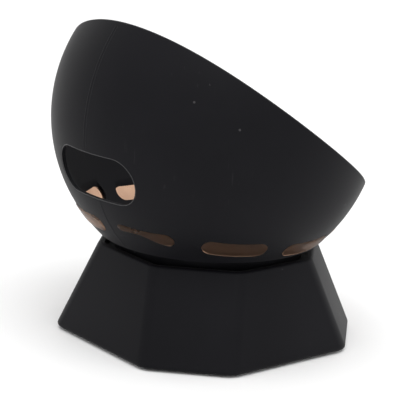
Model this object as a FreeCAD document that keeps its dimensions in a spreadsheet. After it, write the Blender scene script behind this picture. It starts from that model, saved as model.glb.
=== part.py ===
"""Hair colour bowl: a slant-mouthed round bowl with a ring of tinted sight windows,
standing on a turntable in a weighted eight-sided base.

Frame: +Z up, +X towards the low side of the mouth, the origin on the swivel axis at the
level of the surface that the bowl stands on. Millimetres and degrees.
"""
import FreeCAD, Part
import math
import os
import Sketcher

V = FreeCAD.Vector
UP = V(0, 0, 1)
ORIGIN = V(0, 0, 0)
TOLERANCE = 0.01

doc = FreeCAD.newDocument("hair_color_bowl")

# ---------------------------------------------------------------- driving dimensions

SIZES = {
    # bowl shell: a sphere cut off by its mouth and by its floor
    "bowl_radius": 65.0, "bowl_wall": 2.0, "bowl_centre": 88.0,
    "floor_top": 43.1, "floor_under": 41.1,
    "ring_outer": 38.0, "ring_inner": 35.0, "ring_bottom": 34.0,
    # mouth: a shallow arc seen from the side, high at the back and low at the front
    "mouth_tilt": 34.0, "mouth_arc": 330.0, "mouth_rise": 0.8, "rim_round": 0.8,
    # finger slot through the back wall
    "slot_width": 43.2, "slot_height": 18.1, "slot_centre": 72.1, "slot_round": 0.5,
    # sight windows
    "window_count": 9, "window_width": 25.6, "window_height": 7.9, "window_proud": 0.8,
    "window_fall": 40.8, "window_lean": 5.2, "window_phase": 2.0, "window_lowest": 41.2,
    "prism_beyond": 4.0, "prism_within": 1.4,
    # turntable
    "disc_radius": 34.4, "disc_under": 33.8, "web_top": 36.6, "stub_radius": 5.0,
    "stub_bottom": 21.0, "screw_bore": 2.0, "bore_top": 31.0,
    "seat_inner": 20.0, "seat_outer": 30.0, "seat_top": 40.6,
    "grip_inner": 22.0, "grip_outer": 28.0, "grip_bottom": 39.8, "grip_top": 41.0,
    "washer_radius": 9.0, "washer_thick": 1.2, "washer_play": 0.2,
    "head_radius": 3.8, "head_tall": 2.2, "hex_size": 2.5, "hex_deep": 1.3, "screw_gap": 1.0,
    # base skirt: a square with its corners cut off, flared towards the floor; turned
    # clockwise, seen from above
    "base_turn": 3.3, "skirt_bottom": 0.8, "skirt_top": 37.2, "skirt_wall": 2.5,
    "low_flat": 54.2, "low_bevel": 58.8, "high_flat": 42.2, "high_bevel": 42.6,
    "well_wall": 2.2, "deck_top": 33.2, "deck_thick": 3.0, "edge_round": 3.0, "lip_round": 0.8,
    "boss_radius": 10.0, "boss_bottom": 21.5, "bush_outer": 7.0, "bush_play": 0.05,
    "glide_inner": 24.0, "glide_outer": 30.0, "glide_bottom": 32.2, "glide_top": 33.7,
    "post_radius": 4.0, "post_reach": 27.0, "pilot_radius": 1.4, "pilot_deep": 12.0,
    # what closes and weights the base
    "plate_under": 2.0, "plate_thick": 2.6, "plate_gap": 0.3,
    "ballast_inner": 12.0, "ballast_outer": 33.0, "ballast_tall": 9.0,
    "sink_radius": 2.9, "sink_play": 0.1, "shank_radius": 1.4, "shank_long": 11.0, "hole_radius": 1.6,
    "pad_radius": 44.0, "pad_round": 0.6,
}

sheet = doc.addObject("Spreadsheet::Sheet", "sizes")
for row, (alias, value) in enumerate(SIZES.items(), start=1):
    sheet.set("A%d" % row, alias)
    sheet.set("B%d" % row, str(value))
    sheet.setAlias("B%d" % row, alias)
doc.recompute()


def size(expression):
    """The number that an expression on the sheet's aliases comes to."""
    value = sheet.evalExpression(expression)
    return float(getattr(value, "Value", value))


def close(first, second):
    """True for two lengths that are the same within the tolerance."""
    return abs(first - second) < TOLERANCE


# ---------------------------------------------------------------- sketch helpers

def new_body(label):
    """An empty PartDesign body."""
    body = doc.addObject("PartDesign::Body", label)
    body.Label = label
    return body


def new_sketch(body, name, plane="XY_Plane", height=None):
    """A sketch on one of the body's own origin planes, raised along the plane's normal."""
    sketch = body.newObject("Sketcher::SketchObject", name)
    support = [f for f in body.Origin.OriginFeatures if f.Role == plane][0]
    sketch.AttachmentSupport = [(support, "")]
    sketch.MapMode = "FlatFace"
    if height:
        sketch.setExpression(".AttachmentOffset.Base.z", height)
    doc.recompute()
    return sketch


def pin(sketch, edge, end, across, along):
    """Hold one point of the sketch at two expressions, measured from the sketch's origin."""
    for kind, expression in (("DistanceX", across), ("DistanceY", along)):
        value = size(expression)
        if close(value, 0):
            axis = -2 if kind == "DistanceX" else -1
            sketch.addConstraint(Sketcher.Constraint("PointOnObject", edge, end, axis))
        elif value > 0:
            index = sketch.addConstraint(Sketcher.Constraint(kind, -1, 1, edge, end, value))
            sketch.setExpression("Constraints[%d]" % index, expression)
        else:
            index = sketch.addConstraint(Sketcher.Constraint(kind, edge, end, -1, 1, -value))
            sketch.setExpression("Constraints[%d]" % index, "-(%s)" % expression)


def outline(sketch, corners):
    """A closed outline of straight edges through corners given as expression pairs."""
    points = [V(size(across), size(along), 0) for across, along in corners]
    first = sketch.GeometryCount
    count = len(points)
    for i in range(count):
        sketch.addGeometry(Part.LineSegment(points[i], points[(i + 1) % count]), False)
    for i in range(count):
        follower = first + (i + 1) % count
        sketch.addConstraint(Sketcher.Constraint("Coincident", first + i, 2, follower, 1))
    for i, (across, along) in enumerate(corners):
        pin(sketch, first + i, 1, across, along)


def circle(sketch, radius, across="0", along="0"):
    """A circle whose radius and centre are expressions."""
    centre = V(size(across), size(along), 0)
    edge = sketch.addGeometry(Part.Circle(centre, UP, size(radius)), False)
    index = sketch.addConstraint(Sketcher.Constraint("Radius", edge, size(radius)))
    sketch.setExpression("Constraints[%d]" % index, radius)
    pin(sketch, edge, 3, across, along)


def stadium(sketch, width, height, along="0"):
    """A slot shape with round ends, centred across and raised to the given height."""
    r = size(height) / 2
    reach = size(width) / 2 - r
    mid = size(along)
    right = sketch.addGeometry(
        Part.ArcOfCircle(Part.Circle(V(reach, mid, 0), UP, r), -math.pi / 2, math.pi / 2), False)
    left = sketch.addGeometry(
        Part.ArcOfCircle(Part.Circle(V(-reach, mid, 0), UP, r), math.pi / 2, 1.5 * math.pi), False)
    top = sketch.addGeometry(Part.LineSegment(V(reach, mid + r, 0), V(-reach, mid + r, 0)), False)
    low = sketch.addGeometry(Part.LineSegment(V(-reach, mid - r, 0), V(reach, mid - r, 0)), False)
    for a, a_end, b, b_end in ((right, 2, top, 1), (top, 2, left, 1),
                               (left, 2, low, 1), (low, 2, right, 1)):
        sketch.addConstraint(Sketcher.Constraint("Tangent", a, a_end, b, b_end))
    index = sketch.addConstraint(Sketcher.Constraint("Radius", right, r))
    sketch.setExpression("Constraints[%d]" % index, "(%s) / 2" % height)
    end = "((%s) - (%s)) / 2" % (width, height)
    pin(sketch, right, 3, end, along)
    pin(sketch, left, 3, "-" + end, along)


def revolve(body, name, profile):
    """Turn a profile once round the sketch's upright axis."""
    feature = body.newObject("PartDesign::Revolution", name)
    feature.Profile = profile
    feature.ReferenceAxis = (profile, ["V_Axis"])
    feature.Angle = 360
    doc.recompute()
    return feature


def pad(body, name, profile, length):
    """Raise a profile along its normal."""
    feature = body.newObject("PartDesign::Pad", name)
    feature.Profile = profile
    feature.setExpression("Length", length)
    doc.recompute()
    return feature


def pocket(body, name, profile, length, reverse=False):
    """Cut a profile into the body, against its normal unless reversed."""
    feature = body.newObject("PartDesign::Pocket", name)
    feature.Profile = profile
    feature.Reversed = reverse
    before = body.Shape.Volume
    feature.setExpression("Length", length)
    doc.recompute()
    if feature.Shape.Volume > before - TOLERANCE:
        raise RuntimeError("%s cuts nothing" % name)
    return feature


def dress_edges(body, kind, name, setting, amount, wanted):
    """Fillet or chamfer the tip's edges that the test picks out."""
    base = body.Tip
    picked = ["Edge%d" % (i + 1) for i, edge in enumerate(base.Shape.Edges) if wanted(edge)]
    feature = body.newObject(kind, name)
    feature.Base = (base, picked)
    feature.setExpression(setting, amount)
    doc.recompute()
    return feature


def round_edges(body, name, radius, wanted):
    """Fillet the tip's edges that the test picks out."""
    return dress_edges(body, "PartDesign::Fillet", name, "Radius", radius, wanted)


def turned(label, profile):
    """A piece turned from one profile, given as expression pairs of radius and height."""
    body = new_body(label)
    sketch = new_sketch(body, label + "_profile", "XZ_Plane")
    outline(sketch, profile)
    revolve(body, label + "_turned", sketch)
    return body


def turn_with_base(piece):
    """Turn a piece of the base about the swivel axis, as far as the whole base is turned."""
    piece.Placement = FreeCAD.Placement(ORIGIN, FreeCAD.Rotation(-UP, size("sizes.base_turn")))
    piece.setExpression(".Placement.Rotation.Angle", "sizes.base_turn")


# ---------------------------------------------------------------- bowl

def bowl_profile(sketch):
    """Half the bowl's section: a floor and foot ring under two arcs that meet on the axis."""
    centre = size("sizes.bowl_centre")
    shell = size("sizes.bowl_radius")
    inside = shell - size("sizes.bowl_wall")
    under = size("sizes.floor_under")
    floor = size("sizes.floor_top")
    edge = math.sqrt(shell ** 2 - (centre - under) ** 2)
    corner = math.sqrt(inside ** 2 - (centre - floor) ** 2)
    foot = [("0", "sizes.floor_under"),
            ("sizes.ring_inner", "sizes.floor_under"), ("sizes.ring_inner", "sizes.ring_bottom"),
            ("sizes.ring_outer", "sizes.ring_bottom"), ("sizes.ring_outer", "sizes.floor_under")]
    points = [V(size(across), size(along), 0) for across, along in foot] + [V(edge, under, 0)]
    for start, end in zip(points, points[1:]):
        last = sketch.addGeometry(Part.LineSegment(start, end), False)
    middle = V(0, centre, 0)
    outer = sketch.addGeometry(Part.ArcOfCircle(
        Part.Circle(middle, UP, shell), math.asin((under - centre) / shell), math.pi / 2), False)
    crown = sketch.addGeometry(
        Part.LineSegment(V(0, centre + shell, 0), V(0, centre + inside, 0)), False)
    inner = sketch.addGeometry(Part.ArcOfCircle(
        Part.Circle(middle, UP, inside), math.asin((floor - centre) / inside), math.pi / 2), False)
    floor_line = sketch.addGeometry(Part.LineSegment(V(corner, floor, 0), V(0, floor, 0)), False)
    axis_line = sketch.addGeometry(Part.LineSegment(V(0, floor, 0), V(0, under, 0)), False)
    joins = [(edge_before, 2, edge_before + 1, 1) for edge_before in range(last + 1)]
    joins += [(outer, 2, crown, 1), (crown, 2, inner, 2), (inner, 1, floor_line, 1),
              (floor_line, 2, axis_line, 1), (axis_line, 2, 0, 1)]
    for start, start_end, end, end_end in joins:
        sketch.addConstraint(Sketcher.Constraint("Coincident", start, start_end, end, end_end))
    for i, (across, along) in enumerate(foot):
        pin(sketch, i, 1, across, along)
    sketch.addConstraint(Sketcher.Constraint("Horizontal", last))
    for arc, radius in ((outer, "sizes.bowl_radius"), (inner, "sizes.bowl_radius - sizes.bowl_wall")):
        pin(sketch, arc, 3, "0", "sizes.bowl_centre")
        index = sketch.addConstraint(Sketcher.Constraint("Radius", arc, size(radius)))
        sketch.setExpression("Constraints[%d]" % index, radius)
    sketch.addConstraint(Sketcher.Constraint("PointOnObject", crown, 1, -2))
    sketch.addConstraint(Sketcher.Constraint("PointOnObject", crown, 2, -2))
    pin(sketch, floor_line, 2, "0", "sizes.floor_top")
    sketch.addConstraint(Sketcher.Constraint("Horizontal", floor_line))


def is_rim(edge):
    """True for the two long loops that the mouth's cut leaves on the shell."""
    box = edge.BoundBox
    radius = size("sizes.bowl_radius")
    return box.YLength > radius and box.ZLength > radius / 2


def is_slot_edge(edge):
    """True for the edges that the finger slot leaves on the back wall's two faces."""
    box = edge.BoundBox
    play = size("sizes.slot_round")
    low = size("sizes.slot_centre - sizes.slot_height / 2") - play
    high = size("sizes.slot_centre + sizes.slot_height / 2") + play
    along_face = box.YLength > size("sizes.bowl_wall")
    return box.XMax < 0 and box.ZMin > low and box.ZMax < high and along_face


def bowl_blank():
    """The bowl before its windows are cut: a thin sphere, its floor, foot ring, mouth and slot."""
    body = new_body("bowl_blank")
    section = new_sketch(body, "bowl_section", "XZ_Plane")
    bowl_profile(section)
    revolve(body, "bowl_turned", section)

    mouth = new_sketch(body, "mouth_outline", "XZ_Plane")
    circle(mouth, "sizes.mouth_arc", "sizes.mouth_arc * sin(sizes.mouth_tilt * 1 deg)",
           "sizes.bowl_centre + sizes.mouth_rise + sizes.mouth_arc * cos(sizes.mouth_tilt * 1 deg)")
    cut = body.newObject("PartDesign::Pocket", "mouth")
    cut.Profile = mouth
    cut.Midplane = True
    cut.setExpression("Length", "4 * sizes.bowl_radius")
    doc.recompute()

    slot = new_sketch(body, "slot_outline", "YZ_Plane")
    stadium(slot, "sizes.slot_width", "sizes.slot_height", "sizes.slot_centre")
    pocket(body, "finger_slot", slot, "2 * sizes.bowl_radius")
    round_edges(body, "rim_edge", "sizes.rim_round", is_rim)
    round_edges(body, "slot_edge", "sizes.slot_round", is_slot_edge)
    return body


def window_place(index):
    """Where one window sits: azimuth from the front, fall below level, and tilt along the ring.

    The ring leans with the bowl, down to the lowest fall, where it runs level round the front.
    """
    lean = FreeCAD.Rotation(V(0, 1, 0), size("sizes.window_lean"))
    step = 360.0 / size("sizes.window_count")
    azimuth = 180 + size("sizes.window_phase") - step * (index + 0.5)
    around = FreeCAD.Rotation(UP, azimuth)
    outward = lean.multVec(around.multVec(
        FreeCAD.Rotation(V(0, 1, 0), size("sizes.window_fall")).multVec(V(1, 0, 0))))
    along = lean.multVec(around.multVec(V(0, 1, 0)))
    azimuth = math.degrees(math.atan2(outward.y, outward.x))
    fall = math.degrees(math.asin(-outward.z))
    lowest = size("sizes.window_lowest")
    if fall > lowest:
        return azimuth, lowest, 0.0
    return azimuth, fall, math.degrees(math.asin(along.z))


def window_prism(index):
    """The stadium prism that runs through the wall at one window, square to the sphere."""
    azimuth, fall, tilt = window_place(index)
    sketch = doc.addObject("Sketcher::SketchObject", "window_outline_%d" % (index + 1))
    turn = FreeCAD.Rotation(UP, azimuth) * FreeCAD.Rotation(V(0, 1, 0), 90 + fall)
    upright = FreeCAD.Rotation(UP, 90 + tilt)
    sketch.Placement = FreeCAD.Placement(V(0, 0, size("sizes.bowl_centre")), turn * upright)
    stadium(sketch, "sizes.window_width", "sizes.window_height")
    prism = doc.addObject("Part::Extrusion", "window_prism_%d" % (index + 1))
    prism.Base = sketch
    prism.DirMode = "Normal"
    prism.Solid = True
    prism.setExpression("LengthFwd", "sizes.bowl_radius + sizes.prism_beyond")
    prism.setExpression("LengthRev", "-(sizes.bowl_radius - sizes.bowl_wall - sizes.prism_within)")
    return prism


def bowl_parts():
    """The bowl shell with its nine window openings, and the tinted insert in each one."""
    blank = bowl_blank()
    count = int(size("sizes.window_count"))
    prisms = [window_prism(i) for i in range(count)]
    tools = doc.addObject("Part::MultiFuse", "window_openings")
    tools.Shapes = prisms
    shell = doc.addObject("Part::Cut", "bowl_shell")
    shell.Base = blank
    shell.Tool = tools
    shell.Label = "bowl_shell"

    proud = doc.addObject("Part::Sphere", "window_outer_sphere")
    proud.setExpression("Radius", "sizes.bowl_radius + sizes.window_proud")
    flush = doc.addObject("Part::Sphere", "window_inner_sphere")
    flush.setExpression("Radius", "sizes.bowl_radius - sizes.bowl_wall")
    for ball in (proud, flush):
        ball.setExpression(".Placement.Base.z", "sizes.bowl_centre")
    pane = doc.addObject("Part::Cut", "window_pane_stock")
    pane.Base = proud
    pane.Tool = flush
    parts = [shell]
    for i, prism in enumerate(prisms):
        insert = doc.addObject("Part::Common", "sight_window_%d" % (i + 1))
        insert.Base = prism
        insert.Tool = pane
        insert.Label = "sight_window_%d" % (i + 1)
        parts.append(insert)
    return parts


# ---------------------------------------------------------------- turntable

def turntable_disc():
    """The disc that the bowl's foot ring drops over, with its stub shaft and raised grip seat."""
    return turned("turntable_disc", [
        ("0", "sizes.bore_top"), ("sizes.screw_bore", "sizes.bore_top"),
        ("sizes.screw_bore", "sizes.stub_bottom"), ("sizes.stub_radius", "sizes.stub_bottom"),
        ("sizes.stub_radius", "sizes.disc_under"), ("sizes.disc_radius", "sizes.disc_under"),
        ("sizes.disc_radius", "sizes.web_top"), ("sizes.seat_outer", "sizes.web_top"),
        ("sizes.seat_outer", "sizes.seat_top"), ("sizes.grip_outer", "sizes.seat_top"),
        ("sizes.grip_outer", "sizes.grip_bottom"), ("sizes.grip_inner", "sizes.grip_bottom"),
        ("sizes.grip_inner", "sizes.seat_top"), ("sizes.seat_inner", "sizes.seat_top"),
        ("sizes.seat_inner", "sizes.web_top"), ("0", "sizes.web_top")])


def grip_ring():
    """The rubber ring in the disc's groove that the bowl's floor rests on."""
    return turned("grip_ring", [
        ("sizes.grip_inner", "sizes.grip_bottom"), ("sizes.grip_outer", "sizes.grip_bottom"),
        ("sizes.grip_outer", "sizes.grip_top"), ("sizes.grip_inner", "sizes.grip_top")])


def retaining_washer():
    """The washer that stops the turntable from lifting out of its bush."""
    low = "sizes.stub_bottom - sizes.washer_thick"
    hole = "sizes.screw_bore + sizes.washer_play"
    return turned("retaining_washer", [
        (hole, low), ("sizes.washer_radius", low),
        ("sizes.washer_radius", "sizes.stub_bottom"), (hole, "sizes.stub_bottom")])


def retaining_screw():
    """The socket-head screw up into the stub shaft."""
    under_head = "sizes.stub_bottom - sizes.washer_thick"
    foot = under_head + " - sizes.head_tall"
    tip = "sizes.bore_top - sizes.screw_gap"
    body = turned("retaining_screw", [
        ("0", foot), ("sizes.head_radius", foot), ("sizes.head_radius", under_head),
        ("sizes.screw_bore", under_head), ("sizes.screw_bore", tip), ("0", tip)])
    sketch = new_sketch(body, "hex_outline", "XY_Plane", foot)
    corner = "sizes.hex_size / 2 / cos(30 deg)"
    outline(sketch, [(corner + " * cos(%d deg)" % a, corner + " * sin(%d deg)" % a)
                     for a in range(30, 390, 60)])
    pocket(body, "hex_socket", sketch, "sizes.hex_deep", reverse=True)
    return body


def pivot_bush():
    """The plain bearing sleeve pressed into the deck's boss."""
    bore = "sizes.stub_radius + sizes.bush_play"
    return turned("pivot_bush", [
        (bore, "sizes.boss_bottom"), ("sizes.bush_outer", "sizes.boss_bottom"),
        ("sizes.bush_outer", "sizes.deck_top"), (bore, "sizes.deck_top")])


def glide_ring():
    """The slippery ring in the deck's groove that carries the turntable's rim."""
    return turned("glide_ring", [
        ("sizes.glide_inner", "sizes.glide_bottom"), ("sizes.glide_outer", "sizes.glide_bottom"),
        ("sizes.glide_outer", "sizes.glide_top"), ("sizes.glide_inner", "sizes.glide_top")])


# ---------------------------------------------------------------- base

def cut_square(flat, bevel):
    """Corners of a square whose corners are cut off, from its centre's distance to each kind of side."""
    long = "(%s)" % flat
    short = "(sqrt(2) * (%s) - (%s))" % (bevel, flat)
    return [(long, "-" + short), (long, short), (short, long), ("-" + short, long),
            ("-" + long, short), ("-" + long, "-" + short),
            ("-" + short, "-" + long), (short, "-" + long)]


def skirt_reach(side, height, inset="0"):
    """Distance from the axis to a side of the skirt at a height, moved in by an inset."""
    share = "((%s) - sizes.skirt_bottom) / (sizes.skirt_top - sizes.skirt_bottom)" % height
    return "(sizes.low_%s + (sizes.high_%s - sizes.low_%s) * %s - %s)" % (side, side, side, share, inset)


def tapered_square(label, side, top, inset, turn):
    """A square block whose four sides lean in from the skirt's foot to a height."""
    body = new_body(label)
    sketch = new_sketch(body, label + "_foot", "XY_Plane", "sizes.skirt_bottom")
    low = skirt_reach(side, "sizes.skirt_bottom", inset)
    high = skirt_reach(side, top, inset)
    outline(sketch, [(low, low), ("-" + low, low), ("-" + low, "-" + low), (low, "-" + low)])
    rise = "(%s - sizes.skirt_bottom)" % top
    block = pad(body, label + "_block", sketch, rise)
    block.setExpression("TaperAngle", "-atan((%s - %s) / %s)" % (low, high, rise))
    body.Placement = FreeCAD.Placement(ORIGIN, FreeCAD.Rotation(UP, turn))
    doc.recompute()
    return body


def skirt_block(label, top, inset):
    """The eight-sided block between the skirt's foot and a height, moved in by an inset."""
    squares = [tapered_square(label + "_square", "flat", top, inset, 0),
               tapered_square(label + "_diamond", "bevel", top, inset, 45)]
    block = doc.addObject("Part::MultiCommon", label)
    block.Shapes = squares
    return block


def base_skirt():
    """The flared eight-sided shell with its deck, pivot boss, glide groove and screw posts."""
    outside = skirt_block("skirt_outside", "sizes.skirt_top", "0")
    inside = skirt_block("skirt_inside", "(sizes.deck_top - sizes.deck_thick)", "sizes.skirt_wall")
    hollow = doc.addObject("Part::Cut", "skirt_hollow")
    hollow.Base = outside
    hollow.Tool = inside
    doc.recompute()
    body = new_body("base_skirt")
    body.BaseFeature = hollow
    doc.recompute()
    low, high = size("sizes.skirt_bottom"), size("sizes.skirt_top")
    round_edges(body, "upright_edges", "sizes.edge_round",
                lambda edge: close(edge.BoundBox.ZMin, low) and close(edge.BoundBox.ZMax, high))
    round_edges(body, "top_lip", "sizes.lip_round", lambda edge: close(edge.BoundBox.ZMin, high))

    well = new_sketch(body, "well_outline", "XY_Plane", "sizes.skirt_top")
    outline(well, cut_square("(sizes.high_flat - sizes.well_wall)",
                             "(sizes.high_bevel - sizes.well_wall)"))
    pocket(body, "turntable_well", well, "sizes.skirt_top - sizes.deck_top")

    boss = new_sketch(body, "boss_outline", "XY_Plane", "sizes.boss_bottom")
    circle(boss, "sizes.boss_radius")
    pad(body, "pivot_boss", boss, "sizes.deck_top - sizes.boss_bottom - sizes.deck_thick / 2")
    posts = new_sketch(body, "post_outline", "XY_Plane", "sizes.plate_under + sizes.plate_thick")
    for across, along in post_places():
        circle(posts, "sizes.post_radius", across, along)
    pad(body, "screw_posts", posts,
        "sizes.deck_top - sizes.deck_thick / 2 - sizes.plate_under - sizes.plate_thick")
    bore = new_sketch(body, "bush_seat_outline", "XY_Plane", "sizes.boss_bottom")
    circle(bore, "sizes.bush_outer")
    pocket(body, "bush_seat", bore, "2 * (sizes.deck_top - sizes.boss_bottom)", reverse=True)
    groove = new_sketch(body, "glide_groove_outline", "XY_Plane", "sizes.glide_bottom")
    circle(groove, "sizes.glide_inner")
    circle(groove, "sizes.glide_outer")
    pocket(body, "glide_groove", groove, "2 * (sizes.deck_top - sizes.glide_bottom)", reverse=True)
    pilots = new_sketch(body, "pilot_outline", "XY_Plane", "sizes.plate_under + sizes.plate_thick")
    for across, along in post_places():
        circle(pilots, "sizes.pilot_radius", across, along)
    pocket(body, "pilot_holes", pilots, "sizes.pilot_deep", reverse=True)
    turn_with_base(body)
    return body


def post_places():
    """Expression pairs for the four screw posts, one behind each cut corner."""
    reach = "sizes.post_reach"
    return [(reach, reach), ("-" + reach, reach), ("-" + reach, "-" + reach), (reach, "-" + reach)]


def bottom_plate():
    """The eight-sided plate that closes the base, with its countersunk screw holes."""
    body = new_body("bottom_plate")
    top = "(sizes.plate_under + sizes.plate_thick)"
    inset = "(sizes.skirt_wall + sizes.plate_gap)"
    sketch = new_sketch(body, "plate_outline", "XY_Plane", "sizes.plate_under")
    outline(sketch, cut_square(skirt_reach("flat", top, inset), skirt_reach("bevel", top, inset)))
    pad(body, "plate", sketch, "sizes.plate_thick")
    holes = new_sketch(body, "plate_holes_outline", "XY_Plane", "sizes.plate_under")
    for across, along in post_places():
        circle(holes, "sizes.hole_radius", across, along)
    pocket(body, "plate_holes", holes, "sizes.plate_thick", reverse=True)
    under = size("sizes.plate_under")
    across_hole = size("2 * sizes.hole_radius")
    dress_edges(body, "PartDesign::Chamfer", "countersinks", "Size",
                "sizes.sink_radius - sizes.hole_radius",
                lambda edge: close(edge.BoundBox.ZMax, under)
                and close(edge.BoundBox.XLength, across_hole))
    turn_with_base(body)
    return body


def plate_screws():
    """The four countersunk screws that hold the plate to the posts."""
    head = "sizes.sink_radius - sizes.hole_radius"
    tip = "sizes.plate_under + sizes.plate_thick + sizes.shank_long"
    first = turned("screw_stock", [
        ("0", "sizes.plate_under"), ("sizes.sink_radius - sizes.sink_play", "sizes.plate_under"),
        ("sizes.shank_radius", "sizes.plate_under + %s + sizes.sink_play" % head),
        ("sizes.shank_radius", tip), ("0", tip)])
    copies = []
    for i, (across, along) in enumerate(post_places()):
        copy = doc.addObject("Part::Feature", "plate_screw_%d" % (i + 1))
        copy.Shape = first.Shape.copy()
        copy.setExpression(".Placement.Base.x", across)
        copy.setExpression(".Placement.Base.y", along)
        copies.append(copy)
    group = doc.addObject("Part::Compound", "plate_screws")
    group.Label = "plate_screws"
    group.Links = copies
    turn_with_base(group)
    return group


def ballast_ring():
    """The heavy ring on the bottom plate."""
    low = "sizes.plate_under + sizes.plate_thick"
    high = low + " + sizes.ballast_tall"
    return turned("ballast_ring", [("sizes.ballast_inner", low), ("sizes.ballast_outer", low),
                                   ("sizes.ballast_outer", high), ("sizes.ballast_inner", high)])


def non_slip_pad():
    """The rubber disc that covers the screws and stands on the table."""
    body = turned("non_slip_pad", [
        ("0", "0"), ("sizes.pad_radius", "0"),
        ("sizes.pad_radius", "sizes.plate_under"), ("0", "sizes.plate_under")])
    round_edges(body, "pad_edge", "sizes.pad_round", lambda edge: close(edge.BoundBox.ZMax, 0))
    return body


# ---------------------------------------------------------------- build and write

parts = bowl_parts()
parts += [turntable_disc(), grip_ring(), retaining_washer(), retaining_screw()]
parts += [pivot_bush(), glide_ring(), base_skirt(), bottom_plate(), plate_screws()]
parts += [ballast_ring(), non_slip_pad()]
doc.recompute()

for thing in doc.Objects:
    if "Invalid" in thing.State or "Error" in thing.State:
        raise RuntimeError("%s failed: %s" % (thing.Name, thing.State))
os.makedirs("parts", exist_ok=True)
for part in parts:
    if part.Shape.isNull() or not part.Shape.isValid():
        raise RuntimeError("%s has no valid shape" % part.Label)
for part in parts:
    part.Shape.exportStep("parts/%s.step" % part.Label)
    box = part.Shape.BoundBox
    print("%-18s solids %d volume %9.1f  x %6.1f %6.1f  y %6.1f %6.1f  z %6.1f %6.1f" % (
        part.Label, len(part.Shape.Solids), part.Shape.Volume,
        box.XMin, box.XMax, box.YMin, box.YMax, box.ZMin, box.ZMax))
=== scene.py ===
"""Looks of the hair colour bowl: soft-touch shell, tinted sight windows, flared base and studio.

Metres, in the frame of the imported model: +Z up, +X towards the low side of the mouth, the origin
on the swivel axis at table level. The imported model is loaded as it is, and every new piece rides
on one of its bodies.
"""

import logging
import math
from dataclasses import dataclass, field
from enum import Enum
from typing import Callable, ClassVar, Iterable, Sequence

import bmesh
import bpy
import numpy as np
from mathutils import Matrix, Vector


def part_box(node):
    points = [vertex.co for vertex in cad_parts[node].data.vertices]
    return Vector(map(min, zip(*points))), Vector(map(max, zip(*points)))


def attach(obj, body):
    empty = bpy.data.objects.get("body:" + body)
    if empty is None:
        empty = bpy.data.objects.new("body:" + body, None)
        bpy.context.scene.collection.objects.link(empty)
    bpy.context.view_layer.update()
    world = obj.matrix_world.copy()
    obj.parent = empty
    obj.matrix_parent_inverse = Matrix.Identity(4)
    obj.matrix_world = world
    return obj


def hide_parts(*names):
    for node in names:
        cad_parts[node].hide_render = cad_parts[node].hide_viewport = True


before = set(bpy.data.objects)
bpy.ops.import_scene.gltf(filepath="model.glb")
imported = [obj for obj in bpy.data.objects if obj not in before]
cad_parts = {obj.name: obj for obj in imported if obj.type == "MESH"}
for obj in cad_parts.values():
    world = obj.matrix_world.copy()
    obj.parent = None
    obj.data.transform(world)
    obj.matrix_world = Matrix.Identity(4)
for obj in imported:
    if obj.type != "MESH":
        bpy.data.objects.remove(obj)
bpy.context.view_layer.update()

MM = 0.001
CLOSE = 0.01 * MM
WELD = 0.002 * MM
FACING = 0.99
MANY_SIDES = 8
LOG = logging.getLogger("hair_color_bowl")

Colour = tuple[float, float, float]
Stops = tuple[tuple[float, float], ...]


class Body(Enum):
    """The bodies that pieces ride on."""

    BASE = "base"
    BOWL = "bowl"


class Slot(Enum):
    """The record's material slots, one named for each new piece."""

    SOFT_BLACK = "soft_black"
    SMOKE_AMBER = "smoke_amber"
    BASE_BLACK = "base_black"


# ------------------------------------------------------------------ shader maths


class Wire:
    """One output of a shader node, with the arithmetic that adds Math nodes."""

    def __init__(self, paint: "Paint", socket: bpy.types.NodeSocket) -> None:
        """Wrap a socket.

        Args:
            paint: The paint whose node tree holds the socket.
            socket: The output socket.
        """
        self.paint = paint
        self.socket = socket

    def _math(self, operation: str, first: object, second: object = 0.0) -> "Wire":
        """The result of one Math node."""
        return self.paint.node("ShaderNodeMath", {"operation": operation}, {0: first, 1: second})

    def __add__(self, other: object) -> "Wire":
        """Sum."""
        return self._math("ADD", self, other)

    __radd__ = __add__

    def __sub__(self, other: object) -> "Wire":
        """Difference."""
        return self._math("SUBTRACT", self, other)

    def __rsub__(self, other: object) -> "Wire":
        """Difference from a number."""
        return self._math("SUBTRACT", other, self)

    def __mul__(self, other: object) -> "Wire":
        """Product."""
        return self._math("MULTIPLY", self, other)

    __rmul__ = __mul__

    def above(self, level: float) -> "Wire":
        """One where the value is over a level, and nought elsewhere."""
        return self._math("GREATER_THAN", self, level)

    def below(self, level: float) -> "Wire":
        """One where the value is under a level, and nought elsewhere."""
        return self._math("LESS_THAN", self, level)


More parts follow.
